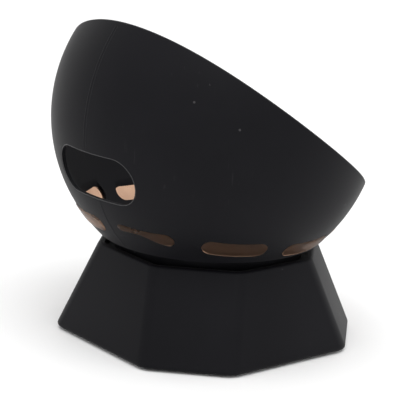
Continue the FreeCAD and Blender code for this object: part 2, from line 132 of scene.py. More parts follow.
class Paint:
    """A node tree that ends in one Principled shader."""

    def __init__(self, name: str, colour: Colour, roughness: float, **constants: object) -> None:
        """Start a material.

        Args:
            name: The material's name.
            colour: Linear base colour.
            roughness: Roughness of the surface.
            constants: Other sockets of the shader by name, with _ for a space.
        """
        self.material = bpy.data.materials.new(name)
        self.material.use_nodes = True
        self.tree = self.material.node_tree
        self.tree.nodes.clear()
        self.shader = self.tree.nodes.new("ShaderNodeBsdfPrincipled")
        output = self.tree.nodes.new("ShaderNodeOutputMaterial")
        self.tree.links.new(self.shader.outputs["BSDF"], output.inputs["Surface"])
        self.set("Base Color", (*colour, 1.0))
        self.set("Roughness", roughness)
        for key, value in constants.items():
            self.set(key.replace("_", " "), value)
        self.place = self.node("ShaderNodeTexCoord", {}, {}, "Object")

    def set(self, socket: str, value: object) -> None:
        """Give a shader socket a value or a link."""
        self._feed(self.shader.inputs[socket], value)

    def _feed(self, target: bpy.types.NodeSocket, value: object) -> None:
        """Link a wire to a socket, or set the socket's own value.

        Args:
            target: The input socket.
            value: A wire, or a value for the socket itself.
        """
        if isinstance(value, Wire):
            self.tree.links.new(value.socket, target)
        else:
            target.default_value = value

    def node(self, kind: str, settings: dict[str, object], inputs: dict[object, object],
             output: object = 0) -> Wire:
        """Add a node.

        Args:
            kind: The node's type.
            settings: Attributes to set first; stops gives a ramp's (place, colour) pairs.
            inputs: Values or wires for the sockets, by name or number.
            output: The socket to return, by name or number.

        Returns:
            The wire from the chosen output.
        """
        made = self.tree.nodes.new(kind)
        for key, value in settings.items():
            if key == "stops":
                self._stops(made.color_ramp, value)
            else:
                setattr(made, key, value)
        for key, value in inputs.items():
            self._feed(made.inputs[key], value)
        return Wire(self, made.outputs[output])

    @staticmethod
    def _stops(ramp: bpy.types.ColorRamp, stops: Sequence[tuple[float, float]]) -> None:
        """Set a ramp's stops.

        Args:
            ramp: The colour ramp.
            stops: Pairs of a place along the ramp and a grey level.
        """
        while len(ramp.elements) < len(stops):
            ramp.elements.new(0.5)
        for element, (place, level) in zip(ramp.elements, stops):
            element.position = place
            element.color = (level, level, level, 1.0)

    def noise(self, scale: float, detail: float = 4.0, at: Wire | None = None) -> Wire:
        """Cloudy noise from 0 to 1, with its features 1 / scale metres across."""
        return self.node("ShaderNodeTexNoise", {"noise_dimensions": "3D"},
                         {"Vector": at or self.place, "Scale": scale, "Detail": detail})

    def stretched(self, scale: Colour, turn: Colour = (0.0, 0.0, 0.0)) -> Wire:
        """Object coordinates turned and then scaled by a different amount along each axis."""
        return self.node("ShaderNodeMapping", {"vector_type": "POINT"},
                         {"Vector": self.place, "Rotation": turn, "Scale": scale})

    def ramp(self, value: Wire, stops: Sequence[tuple[float, float]]) -> Wire:
        """A value put through a grey ramp."""
        return self.node("ShaderNodeValToRGB", {"stops": stops}, {"Fac": value})

    def blend(self, share: Wire, first: Colour, second: Colour | Wire) -> Wire:
        """A colour from the first, where the share is 0, to the second, where it is 1."""
        other = second if isinstance(second, Wire) else (*second, 1.0)
        return self.node("ShaderNodeMix", {"data_type": "RGBA"},
                         {0: share, 6: (*first, 1.0), 7: other}, 2)

    def bump(self, height: Wire, distance: float, strength: float) -> None:
        """Raise the surface by a height, over a distance in metres."""
        normal = self.node("ShaderNodeBump", {},
                           {"Height": height, "Distance": distance, "Strength": strength}, "Normal")
        self.set("Normal", normal)


# ------------------------------------------------------------------ finishes


@dataclass(frozen=True)
class SoftTouch:
    """Matt black moulding with a soft rubbery coat, fine grain, faint handling marks and specks."""

    name: str
    colour: Colour = (0.0030, 0.0029, 0.0042)
    light: Colour = (0.0062, 0.0060, 0.0080)
    speck: Colour = (0.050, 0.048, 0.050)
    roughness: float = 0.52
    sheen: float = 0.055
    sheen_roughness: float = 0.30
    sheen_tint: Colour = (0.95, 0.92, 0.90)
    specular: float = 0.11
    cloud_scale: float = 26.0
    cloud_stops: Stops = ((0.34, 0.0), (0.70, 1.0))
    cloud_share: float = 0.55
    rubbed_scale: float = 9.0
    rubbed_stops: Stops = ((0.52, 0.0), (0.78, 1.0))
    rubbed_share: float = 0.30
    speck_scale: float = 130.0
    speck_size: float = 0.060
    speck_patch: float = 88.0
    speck_level: float = 0.66
    speck_share: float = 0.7
    streak_scale: Colour = (900.0, 900.0, 60.0)
    streak_turn: Colour = (0.35, 0.15, 0.0)
    streak_stops: Stops = ((0.66, 0.0), (0.74, 1.0))
    streak_patch: float = 34.0
    patch_stops: Stops = ((0.60, 0.0), (0.70, 1.0))
    streak_share: float = 0.16
    cloud_dull: float = 0.07
    rubbed_shine: float = 0.08
    streak_shine: float = 0.06
    grain_scale: float = 4200.0
    grain_share: float = 0.6
    ripple_scale: float = 420.0
    ripple_share: float = 0.25
    streak_depth: float = 0.3
    relief: float = 0.08 * MM
    relief_strength: float = 0.35

    def paint(self) -> bpy.types.Material:
        """Make the material.

        Returns:
            The new material.
        """
        paint = Paint(self.name, self.colour, self.roughness, Sheen_Weight=self.sheen,
                      Sheen_Roughness=self.sheen_roughness, Sheen_Tint=(*self.sheen_tint, 1.0),
                      Specular_IOR_Level=self.specular)
        cloud = paint.ramp(paint.noise(self.cloud_scale, 3.0), self.cloud_stops)
        rubbed = paint.ramp(paint.noise(self.rubbed_scale, 6.0), self.rubbed_stops)
        tone = paint.blend(cloud * self.cloud_share + rubbed * self.rubbed_share,
                           self.colour, self.light)
        specks = self._specks(paint)
        streaks = self._streaks(paint)
        marks = specks * self.speck_share + streaks * self.streak_share
        paint.set("Base Color", self._over(paint, marks, tone))
        paint.set("Roughness", self.roughness + cloud * self.cloud_dull
                  - rubbed * self.rubbed_shine - streaks * self.streak_shine)
        grain = paint.noise(self.grain_scale, 2.0)
        ripple = paint.noise(self.ripple_scale, 3.0)
        paint.bump(grain * self.grain_share + ripple * self.ripple_share
                   - streaks * self.streak_depth, self.relief, self.relief_strength)
        return paint.material

    def _over(self, paint: Paint, marks: Wire, tone: Wire) -> Wire:
        """The plain tone with the marks' colour laid over it."""
        return paint.node("ShaderNodeMix", {"data_type": "RGBA"},
                          {0: marks, 6: tone, 7: (*self.speck, 1.0)}, 2)

    def _specks(self, paint: Paint) -> Wire:
        """Sparse specks of dust, just under a millimetre across.

        Args:
            paint: The paint to add the nodes to.

        Returns:
            One on the specks, and nought elsewhere.
        """
        cells = paint.node("ShaderNodeTexVoronoi", {"feature": "F1"},
                           {"Vector": paint.place, "Scale": self.speck_scale}, "Distance")
        chance = paint.noise(self.speck_patch, 0.0)
        return cells.below(self.speck_size) * chance.above(self.speck_level)

    def _streaks(self, paint: Paint) -> Wire:
        """Short faint scuffs that run up and down the sides.

        Args:
            paint: The paint to add the nodes to.

        Returns:
            How strong the scuffs are, from 0 to 1.
        """
        along = paint.stretched(self.streak_scale, self.streak_turn)
        fine = paint.ramp(paint.noise(1.0, 2.0, along), self.streak_stops)
        patch = paint.ramp(paint.noise(self.streak_patch, 1.0), self.patch_stops)
        return fine * patch


@dataclass(frozen=True)
class SmokePane:
    """Smoked amber plastic: clear enough to see light through, with a milky body."""

    name: str
    colour: Colour = (0.55, 0.350, 0.240)
    deep: Colour = (0.44, 0.275, 0.190)
    roughness: float = 0.26
    swirl_scale: float = 70.0
    swirl_stops: Stops = ((0.35, 0.0), (0.70, 1.0))
    swirl_dull: float = 0.12
    clear: float = 0.96
    bending: float = 1.12
    specular: float = 0.30
    ripple_scale: float = 260.0
    relief: float = 0.05 * MM
    relief_strength: float = 0.20

    def paint(self) -> bpy.types.Material:
        """Make the material.

        Returns:
            The new material.
        """
        paint = Paint(self.name, self.colour, self.roughness, Transmission_Weight=self.clear,
                      IOR=self.bending, Specular_IOR_Level=self.specular)
        swirl = paint.ramp(paint.noise(self.swirl_scale, 3.0), self.swirl_stops)
        paint.set("Base Color", paint.blend(swirl, self.colour, self.deep))
        paint.set("Roughness", self.roughness + swirl * self.swirl_dull)
        paint.bump(paint.noise(self.ripple_scale, 3.0), self.relief, self.relief_strength)
        return paint.material


@dataclass(frozen=True)
class Rubber:
    """Soft black rubber with a pebbled skin."""

    name: str
    colour: Colour = (0.022, 0.022, 0.023)
    worn: Colour = (0.045, 0.044, 0.043)
    roughness: float = 0.84
    sheen: float = 0.10
    pebble_scale: float = 1400.0
    wear_scale: float = 60.0
    wear_stops: Stops = ((0.5, 0.0), (0.75, 1.0))
    wear_shine: float = 0.14
    relief: float = 0.12 * MM
    relief_strength: float = 0.5

    def paint(self) -> bpy.types.Material:
        """Make the material.

        Returns:
            The new material.
        """
        paint = Paint(self.name, self.colour, self.roughness, Sheen_Weight=self.sheen)
        cells = paint.node("ShaderNodeTexVoronoi", {"feature": "SMOOTH_F1"},
                           {"Vector": paint.place, "Scale": self.pebble_scale}, "Distance")
        wear = paint.ramp(paint.noise(self.wear_scale, 5.0), self.wear_stops)
        paint.set("Base Color", paint.blend(wear, self.colour, self.worn))
        paint.set("Roughness", self.roughness - wear * self.wear_shine)
        paint.bump(1.0 - cells, self.relief, self.relief_strength)
        return paint.material


@dataclass(frozen=True)
class Bearing:
    """Hard slippery plastic with turning marks left by use."""

    name: str
    colour: Colour
    dusty: Colour
    roughness: float = 0.34
    rings_scale: float = 2600.0
    dust_scale: float = 120.0
    dust_stops: Stops = ((0.45, 0.0), (0.75, 1.0))
    dust_share: float = 0.6
    dust_dull: float = 0.15
    rings_dull: float = 0.12
    relief: float = 0.03 * MM
    relief_strength: float = 0.4

    def paint(self) -> bpy.types.Material:
        """Make the material.

        Returns:
            The new material.
        """
        paint = Paint(self.name, self.colour, self.roughness)
        radius = paint.node("ShaderNodeVectorMath", {"operation": "LENGTH"},
                            {0: paint.stretched((1.0, 1.0, 0.0))}, "Value")
        rings = paint.node("ShaderNodeTexNoise", {"noise_dimensions": "1D"},
                           {"W": radius * self.rings_scale, "Scale": 1.0, "Detail": 2.0})
        dust = paint.ramp(paint.noise(self.dust_scale, 4.0), self.dust_stops)
        paint.set("Base Color", paint.blend(dust * self.dust_share, self.colour, self.dusty))
        paint.set("Roughness", self.roughness + dust * self.dust_dull + rings * self.rings_dull)
        paint.bump(rings, self.relief, self.relief_strength)
        return paint.material


@dataclass(frozen=True)
class PlatedSteel:
    """Zinc-plated steel with a faint turned grain and duller patches."""

    name: str
    colour: Colour = (0.55, 0.56, 0.58)
    dull: Colour = (0.36, 0.36, 0.37)
    roughness: float = 0.26
    patch_scale: float = 500.0
    patch_stops: Stops = ((0.40, 0.0), (0.72, 1.0))
    patch_dull: float = 0.18
    grain_scale: Colour = (700.0, 700.0, 9000.0)
    grain_dull: float = 0.06
    relief: float = 0.02 * MM
    relief_strength: float = 0.35

    def paint(self) -> bpy.types.Material:
        """Make the material.

        Returns:
            The new material.
        """
        paint = Paint(self.name, self.colour, self.roughness, Metallic=1.0)
        patch = paint.ramp(paint.noise(self.patch_scale, 4.0), self.patch_stops)
        grain = paint.noise(1.0, 3.0, paint.stretched(self.grain_scale))
        paint.set("Base Color", paint.blend(patch, self.colour, self.dull))
        paint.set("Roughness", self.roughness + patch * self.patch_dull + grain * self.grain_dull)
        paint.bump(grain, self.relief, self.relief_strength)
        return paint.material


@dataclass(frozen=True)
class CastIron:
    """Painted cast iron with a sandy skin."""

    name: str
    colour: Colour = (0.075, 0.075, 0.080)
    rust: Colour = (0.110, 0.060, 0.035)
    roughness: float = 0.60
    metallic: float = 0.25
    stain_scale: float = 90.0
    stain_stops: Stops = ((0.58, 0.0), (0.74, 1.0))
    stain_share: float = 0.7
    sand_scale: float = 1300.0
    sand_dull: float = 0.2
    relief: float = 0.25 * MM
    relief_strength: float = 0.7

    def paint(self) -> bpy.types.Material:
        """Make the material.

        Returns:
            The new material.
        """
        paint = Paint(self.name, self.colour, self.roughness, Metallic=self.metallic)
        stain = paint.ramp(paint.noise(self.stain_scale, 6.0), self.stain_stops)
        sand = paint.noise(self.sand_scale, 5.0)
        paint.set("Base Color", paint.blend(stain * self.stain_share, self.colour, self.rust))
        paint.set("Roughness", self.roughness + sand * self.sand_dull)
        paint.bump(sand, self.relief, self.relief_strength)
        return paint.material


# ------------------------------------------------------------------ workbench


class Bench:
    """Operators that shape a mesh, with what they act on picked in code."""

    @staticmethod
    def clear() -> None:
        """Leave edit mode and deselect everything."""
        if bpy.context.mode != "OBJECT":
            bpy.ops.object.mode_set(mode="OBJECT")
        bpy.ops.object.select_all(action="DESELECT")

    @staticmethod
    def take(piece: bpy.types.Object) -> None:
        """Make one object the only selected and active one.

        Args:
            piece: The object to take.
        """
        Bench.clear()
        piece.select_set(True)
        bpy.context.view_layer.objects.active = piece

    @staticmethod
    def settle(piece: bpy.types.Object, place: Matrix | None = None) -> bpy.types.Object:
        """Move a piece by a matrix, and put its place into its mesh.

        Args:
            piece: The piece.
            place: The matrix, or None to leave the piece where it is.

        Returns:
            The same piece.
        """
        if place is not None:
            piece.matrix_world = place @ piece.matrix_world
        Bench.take(piece)
        bpy.ops.object.transform_apply(location=True, rotation=True, scale=True)
        return piece

    @staticmethod
    def globe(radius: float, centre: Vector, segments: int, rings: int) -> bpy.types.Object:
        """A sphere of quads with its poles on the upright.

        Args:
            radius: The radius.
            centre: The centre.
            segments: Faces round it.
            rings: Faces from pole to pole.

        Returns:
            The sphere's object.
        """
        Bench.clear()
        bpy.ops.mesh.primitive_uv_sphere_add(segments=segments, ring_count=rings, radius=radius,
                                             location=centre)
        return Bench.settle(bpy.context.object)

    @staticmethod
    def slice_below(piece: bpy.types.Object, height: float) -> None:
        """Cut a solid off level, drop what is below and close the cut.

        Args:
            piece: The solid.
            height: The height of the cut.
        """
        Bench.take(piece)
        bpy.ops.object.mode_set(mode="EDIT")
        bpy.ops.mesh.select_all(action="SELECT")
        bpy.ops.mesh.bisect(plane_co=(0.0, 0.0, height), plane_no=(0.0, 0.0, 1.0),
                            use_fill=True, clear_inner=True)
        bpy.ops.object.mode_set(mode="OBJECT")

    @staticmethod
    def pick(piece: bpy.types.Object, wanted: Callable[[bmesh.types.BMFace], bool]) -> None:
        """Enter edit mode with only the faces that a test wants selected.

        Args:
            piece: The object to edit.
            wanted: The test of a face.
        """
        Bench.take(piece)
        bpy.ops.object.mode_set(mode="EDIT")
        bpy.ops.mesh.select_mode(type="FACE")
        bpy.ops.mesh.select_all(action="DESELECT")
        mesh = bmesh.from_edit_mesh(piece.data)
        for face in mesh.faces:
            face.select_set(wanted(face))
        bmesh.update_edit_mesh(piece.data)

    @staticmethod
    def pick_edges(piece: bpy.types.Object, wanted: Callable[[bmesh.types.BMEdge], bool]) -> None:
        """Enter edit mode with only the edges that a test wants selected.

        Args:
            piece: The object to edit.
            wanted: The test of an edge.
        """
        Bench.take(piece)
        bpy.ops.object.mode_set(mode="EDIT")
        bpy.ops.mesh.select_mode(type="EDGE")
        bpy.ops.mesh.select_all(action="DESELECT")
        mesh = bmesh.from_edit_mesh(piece.data)
        for edge in mesh.edges:
            edge.select_set(wanted(edge))
        bmesh.update_edit_mesh(piece.data)

    @staticmethod
    def join(pieces: Iterable[bpy.types.Object], name: str) -> bpy.types.Object:
        """Join pieces into one object of that name.

        Args:
            pieces: The pieces to join.
            name: The name of the whole.

        Returns:
            The joined object.
        """
        pieces = list(pieces)
        Bench.take(pieces[0])
        for piece in pieces:
            piece.select_set(True)
        if len(pieces) > 1:
            bpy.ops.object.join()
        whole = bpy.context.object
        whole.name = name
        whole.data.name = name
        return whole

    @staticmethod
    def cut(piece: bpy.types.Object, tool: bpy.types.Object) -> None:
        """Cut one closed solid out of another, and drop the tool.

        Args:
            piece: The solid that is cut.
            tool: The solid that cuts it.
        """
        Bench.take(piece)
        modifier = piece.modifiers.new("cut", "BOOLEAN")
        modifier.operation = "DIFFERENCE"
        modifier.solver = "MANIFOLD"
        modifier.object = tool
        bpy.ops.object.modifier_apply(modifier=modifier.name)
        bpy.data.objects.remove(tool)

    @staticmethod
    def smooth(piece: bpy.types.Object, degrees: float = 32.0) -> None:
        """Shade smooth across edges that turn less than an angle."""
        Bench.take(piece)
        bpy.ops.object.shade_smooth_by_angle(angle=math.radians(degrees))

    @staticmethod
    def face_outwards(piece: bpy.types.Object) -> None:
        """Merge doubles, then turn every face outwards.

        Args:
            piece: The closed mesh to put right.
        """
        Bench.take(piece)
        bpy.ops.object.mode_set(mode="EDIT")
        bpy.ops.mesh.select_all(action="SELECT")
        bpy.ops.mesh.remove_doubles(threshold=WELD)
        bpy.ops.mesh.normals_make_consistent(inside=False)
        bpy.ops.object.mode_set(mode="OBJECT")

    @staticmethod
    def loft(name: str, rings: Sequence[Sequence[Vector]], tip: int) -> bpy.types.Object:
        """A closed solid through outlines that have the same number of points.

        Args:
            name: The solid's name.
            rings: The outlines in order, each a list of points that mirror about the tip.
            tip: Number of the point at the outline's end, where the end faces' strips start.

        Returns:
            The solid's object.
        """
        count = len(rings[0])
        faces = []
        for low in range(0, (len(rings) - 1) * count, count):
            faces += [(low + i, low + (i + 1) % count, low + count + (i + 1) % count, low + count + i)
                      for i in range(count)]
        for low in (0, (len(rings) - 1) * count):
            pairs = [(low + (tip + i) % count, low + (tip - i) % count)
                     for i in range(count // 2 + 1)]
            for (a, b), (c, d) in zip(pairs, pairs[1:]):
                faces.append(tuple(dict.fromkeys((a, c, d, b))))
        mesh = bpy.data.meshes.new(name)
        mesh.from_pydata([point for ring in rings for point in ring], [], faces)
        solid = bpy.data.objects.new(name, mesh)
        bpy.context.scene.collection.objects.link(solid)
        Bench.face_outwards(solid)
        return solid

    @staticmethod
    def bead(name: str, points: Sequence[Vector], radius: float, closed: bool) -> bpy.types.Object:
        """A round bead along a line of points, as a mesh.

        Args:
            name: The bead's name.
            points: The line's points in order.
            radius: The bead's radius.
            closed: True where the line joins up with its start.

        Returns:
            The bead's object.
        """
        curve = bpy.data.curves.new(name, "CURVE")
        curve.dimensions = "3D"
        curve.bevel_depth = radius
        curve.bevel_resolution = 3
        curve.use_fill_caps = not closed
        line = curve.splines.new("POLY")
        line.points.add(len(points) - 1)
        for point, place in zip(line.points, points):
            point.co = (*place, 1.0)
        line.use_cyclic_u = closed
        piece = bpy.data.objects.new(name, curve)
        bpy.context.scene.collection.objects.link(piece)
        Bench.take(piece)
        bpy.ops.object.convert(target="MESH")
        piece = bpy.context.object
        Bench.face_outwards(piece)
        return piece

    @staticmethod
    def finish(piece: bpy.types.Object, material: bpy.types.Material, body: Body,
               slot: Slot, replaced: Sequence[str] = ()) -> None:
        """Give a piece its material and its body, and hide the nodes that it replaces.

        Args:
            piece: The finished piece.
            material: Its material.
            body: The body that it rides on.
            slot: The record's slot of its finish; not used.
            replaced: The nodes that it replaces.
        """
        piece.data.materials.clear()
        piece.data.materials.append(material)
        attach(piece, body.value)
        if replaced:
            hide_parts(*replaced)
        LOG.info("%s: %d faces, rides on %s", piece.name, len(piece.data.polygons), body.value)


# ------------------------------------------------------------------ bowl


@dataclass
class Window:
    """One sight window: where it sits on the ball, and how its outline swells and narrows."""

    node: str
    outward: Vector
    along: Vector
    width: float
    height: float
    waist: float = 0.0

    CORNERS: ClassVar[int] = 12
    WAIST_AT: ClassVar[float] = 0.38
    TOWARDS_TAIL: ClassVar[float] = 0.60
    TOWARDS_HEAD: ClassVar[float] = 0.33
    WAIST_KEPT: ClassVar[float] = 0.17
    SIDE_STEPS: ClassVar[int] = 14

    def frame(self, centre: Vector) -> Matrix:
        """Axes at the ball's centre: X along the window, Y up across it, Z outwards.

        Args:
            centre: The ball's centre.

        Returns:
            The matrix of the axes.
        """
        up = self.outward.cross(self.along)
        turn = Matrix((self.along, up, self.outward)).transposed().to_4x4()
        return Matrix.Translation(centre) @ turn

    def outline(self, grow: float = 0.0, lift: float = 0.0) -> list[tuple[float, float]]:
        """The window's closed outline in its own plane.

        Args:
            grow: How far to move the outline outwards all round.
            lift: How much further to raise its upper side.

        Returns:
            Points in order, anticlockwise seen from outside.
        """
        r = self.height / 2 + grow
        reach = self.width / 2 - self.height / 2
        steps, along = 2 * self.CORNERS, self.SIDE_STEPS
        points = []
        for i in range(steps + 1):
            a = -math.pi / 2 + math.pi * i / steps
            points.append((reach + r * math.cos(a), r * math.sin(a)))
        points += [(reach - 2 * reach * i / along, r) for i in range(1, along)]
        for i in range(steps + 1):
            a = math.pi / 2 + math.pi * i / steps
            points.append((-reach + r * math.cos(a), r * math.sin(a)))
        points += [(-reach + 2 * reach * i / along, -r) for i in range(1, along)]
        return [(x, self._shape(x, y) + lift * max(0.0, y / r)) for x, y in points]

    def _shape(self, x: float, y: float) -> float:
        """Draw the lower side up at the waist, and less far towards each end.

        Args:
            x: Place along the window.
            y: Place across it.

        Returns:
            The new place across it.
        """
        if not self.waist:
            return y
        share = x / self.width + 0.5 - self.WAIST_AT
        spread = self.TOWARDS_TAIL if share < 0 else self.TOWARDS_HEAD
        drawn = self.waist * (self.WAIST_KEPT
                              + (1 - self.WAIST_KEPT) * math.exp(-(share / spread) ** 2))
        below = 0.5 - y / self.height
        return y + drawn * self.height * below

    def lay(self, centre: Vector, outline: Sequence[tuple[float, float]],
            radius: float) -> list[Vector]:
        """Lay an outline on a ball of a radius.

        Args:
            centre: The ball's centre.
            outline: Points in the window's own plane.
            radius: The ball's radius.

        Returns:
            The points on the ball.
        """
        place = self.frame(centre)
        return [place @ Vector((x, y, math.sqrt(radius ** 2 - x * x - y * y))) for x, y in outline]


@dataclass
class Bowl:
    """The thin round shell with its rolled edges, openings, panes, foot ring and parting lines."""

    radius: float
    centre: Vector
    wall: float = 2.0 * MM
    floor_top: float = 43.1 * MM
    floor_under: float = 41.1 * MM
    foot_outer: float = 38.0 * MM
    foot_inner: float = 35.0 * MM
    floor_round: float = 1.4 * MM
    mouth_tilt: float = math.radians(34.0)
    mouth_arc: float = 330.0 * MM
    mouth_rise: float = 0.8 * MM
    slot_width: float = 43.2 * MM
    slot_height: float = 18.1 * MM
    slot_middle: float = 72.1 * MM
    slot_bead: float = 0.55 * MM
    slot_inner: float = 0.5
    slot_beyond: float = 1.2
    mouth_segments: int = 720
    rim_swell: float = 1.01
    plug_within: float = 2.5 * MM
    plug_beyond: float = 1.05
    pane_steps: tuple[float, ...] = (0.0, 0.05, 0.14, 0.28, 0.48, 0.77, 1.2, 1.8, 2.4)
    pane_crease: float = 50.0
    glint: float = 0.15 * MM
    glint_share: float = 0.30
    foot_soft: float = 0.5 * MM
    foot_corner: float = 1.0
    part_gap: float = 1.2 * MM
    part_below_top: float = 1.6 * MM
    part_above_floor: float = 1.0 * MM
    part_steps: int = 60
    part_upper: tuple[tuple[float, float], ...] = ((0.6 * MM, 0.07 * MM), (2.0 * MM, 0.11 * MM))
    part_lower: tuple[tuple[float, float], ...] = ((-2.2 * MM, 0.15 * MM),)
    land: float = 1.0 * MM
    brow: float = 0.9 * MM
    flare: float = 2.3 * MM
    pane_proud: float = 0.35 * MM
    pane_soft: float = 1.3 * MM
    pane_play: float = 0.02 * MM
    seam_window: str = "sight_window_9"
    seam_waist: float = 0.68
    seam_short: float = 1.4 * MM
    segments: int = 192
    rings: int = 96

    SLOT_STEPS: ClassVar[int] = 24
    HALVINGS: ClassVar[int] = 60
    CENTRE_HEIGHT: ClassVar[float] = 88.0 * MM
    windows: list[Window] = field(default_factory=list)

    @classmethod
    def from_frame(cls) -> "Bowl":
        """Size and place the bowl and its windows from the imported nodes.

        Returns:
            The bowl.
        """
        low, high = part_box("bowl_shell")
        bowl = cls(radius=(high.y - low.y) / 2, centre=Vector((0.0, 0.0, cls.CENTRE_HEIGHT)))
        for name in sorted(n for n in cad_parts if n.startswith("sight_window_")):
            bowl.windows.append(bowl.read_window(name))
        return bowl

    def read_window(self, name: str) -> Window:
        """Read one window's direction, long axis and size from its node.

        Args:
            name: The node's name.

        Returns:
            The window.
        """
        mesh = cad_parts[name].data
        points = np.array([v.co for v in mesh.vertices]) - np.array(self.centre)
        outward = Vector(points.mean(axis=0)).normalized()
        axis = Vector(np.linalg.svd(points - points.mean(axis=0))[2][0])
        along = (axis - outward * axis.dot(outward)).normalized()
        if along.cross(outward).z > 0:
            along.negate()
        up = outward.cross(along)
        width = float(np.ptp(points @ np.array(along)))
        height = float(np.ptp(points @ np.array(up)))
        if name != self.seam_window:
            return Window(name, outward, along, width, height)
        turn = Matrix.Rotation(-self.seam_short / 2 / self.radius, 3, up)
        return Window(name, turn @ outward, turn @ along, width - self.seam_short, height,
                      self.seam_waist)

    def section(self, across: float, radius: float) -> tuple[float, float]:
        """A point of the mouth's arc in the mouth's own axes: along the slope and out of it.

        Args:
            across: Place along the slope.
            radius: The arc's radius.

        Returns:
            The places along the slope and out of it.
        """
        middle = self.mouth_rise * math.sin(self.mouth_tilt)
        out = self.mouth_rise * math.cos(self.mouth_tilt) + self.mouth_arc
        return across, out - math.sqrt(radius ** 2 - (across + middle) ** 2)

    def rim_line(self, inset: float, count: int = 300) -> list[Vector]:
        """The loop where the wall's middle meets the mouth, an inset below its cut.

        Args:
            inset: How far the loop lies below the cut.
            count: Points in the loop.

        Returns:
            The loop's points.
        """
        ball = self.radius - self.wall / 2
        arc = self.mouth_arc + inset

        def depth(across: float) -> float:
            """How far inside the ball the arc is, as a square."""
            return ball ** 2 - across ** 2 - self.section(across, arc)[1] ** 2

        ends = []
        for sign in (-1.0, 1.0):
            inside, outside = 0.0, sign * ball
            for _ in range(self.HALVINGS):
                middle = (inside + outside) / 2
                if depth(middle) > 0:
                    inside = middle
                else:
                    outside = middle
            ends.append(inside)
        mid, half = sum(ends) / 2, (ends[1] - ends[0]) / 2
        slope = Vector((math.cos(self.mouth_tilt), 0.0, -math.sin(self.mouth_tilt)))
        out = Vector((math.sin(self.mouth_tilt), 0.0, math.cos(self.mouth_tilt)))
        line = []
        for i in range(count):
            turn = 2 * math.pi * i / count
            across = mid + half * math.cos(turn)
            side = math.copysign(math.sqrt(max(0.0, depth(across))), math.sin(turn))
            place = slope * across + out * self.section(across, arc)[1] + Vector((0.0, side, 0.0))
            line.append(self.centre + place)
        return line

    def slot_line(self, radius: float, grow: float, side_steps: int = 20) -> list[Vector]:
        """The finger slot's outline laid on a ball of a radius, moved outwards by an amount.

        Args:
            radius: The ball's radius.
            grow: How far to move the outline outwards.
            side_steps: Steps on each long side.

        Returns:
            The outline's points.
        """
        r = self.slot_height / 2 + grow
        reach = (self.slot_width - self.slot_height) / 2
        flat = []
        for sign in (1.0, -1.0):
            for i in range(self.SLOT_STEPS + 1):
                a = -math.pi / 2 + math.pi * i / self.SLOT_STEPS
                flat.append((sign * (reach + r * math.cos(a)), sign * r * math.sin(a)))
            flat += [(sign * (reach - 2 * reach * i / side_steps), sign * r)
                     for i in range(1, side_steps)]
        line = []
        for across, up in flat:
            rise = self.slot_middle + up - self.centre.z
            back = math.sqrt(radius ** 2 - across ** 2 - rise ** 2)
            line.append(Vector((-back, across, self.slot_middle + up)))
        return line

    def blank(self) -> bpy.types.Object:
        """The closed wall before its openings: a ball cut off level, hollowed by a smaller one.

        Returns:
            The wall's object.
        """
        shell = Bench.globe(self.radius, self.centre, self.segments, self.rings)
        Bench.slice_below(shell, self.floor_under)
        hollow = Bench.globe(self.radius - self.wall, self.centre, self.segments, self.rings)
        Bench.slice_below(hollow, self.floor_top)
        Bench.pick_edges(hollow, lambda e: all(abs(v.co.z - self.floor_top) < CLOSE
                                               for v in e.verts) and len(e.link_faces) == 2
                         and any(len(f.verts) > MANY_SIDES for f in e.link_faces))
        bpy.ops.mesh.bevel(offset=self.floor_round, segments=4, affect="EDGES")
        bpy.ops.object.mode_set(mode="OBJECT")
        Bench.cut(shell, hollow)
        return shell

    def mouth_tool(self) -> bpy.types.Object:
        """The big round bar whose side cuts the slanting mouth.

        Returns:
            The bar's object.
        """
        out = Vector((math.sin(self.mouth_tilt), 0.0, math.cos(self.mouth_tilt)))
        middle = self.centre + Vector((0.0, 0.0, self.mouth_rise)) + out * self.mouth_arc
        Bench.clear()
        bpy.ops.mesh.primitive_cylinder_add(vertices=self.mouth_segments,
                                            radius=self.mouth_arc + self.wall / 2,
                                            depth=4 * self.radius, location=middle,
                                            rotation=(math.pi / 2, 0.0, 0.0))
        return Bench.settle(bpy.context.object)

    def slot_tool(self) -> bpy.types.Object:
        """The bar that cuts the finger slot through the back wall.

        Returns:
            The bar's object.
        """
        line = self.slot_line(self.radius, self.slot_bead)
        far = [Vector((-self.slot_beyond * self.radius, p.y, p.z)) for p in line]
        near = [Vector((-self.slot_inner * self.radius, p.y, p.z)) for p in line]
        return Bench.loft("slot_tool", [near, far], self.SLOT_STEPS // 2)

    def window_tool(self, window: Window) -> bpy.types.Object:
        """The plug that cuts a window's opening, with its upper side cut back towards the inside.

        Args:
            window: The window.

        Returns:
            The plug's object.
        """
        narrow = self.radius - self.land
        deep = self.radius - self.wall - self.plug_within
        reach = (narrow - deep) / (self.wall - self.land)
        slope = (self.flare + self.brow) * reach - self.brow
        rings = [window.lay(self.centre, window.outline(lift=slope), deep),
                 window.lay(self.centre, window.outline(lift=-self.brow), narrow),
                 window.lay(self.centre, window.outline(), self.radius),
                 window.lay(self.centre, window.outline(), self.plug_beyond * self.radius)]
        return Bench.loft(window.node + "_tool", rings, Window.CORNERS)

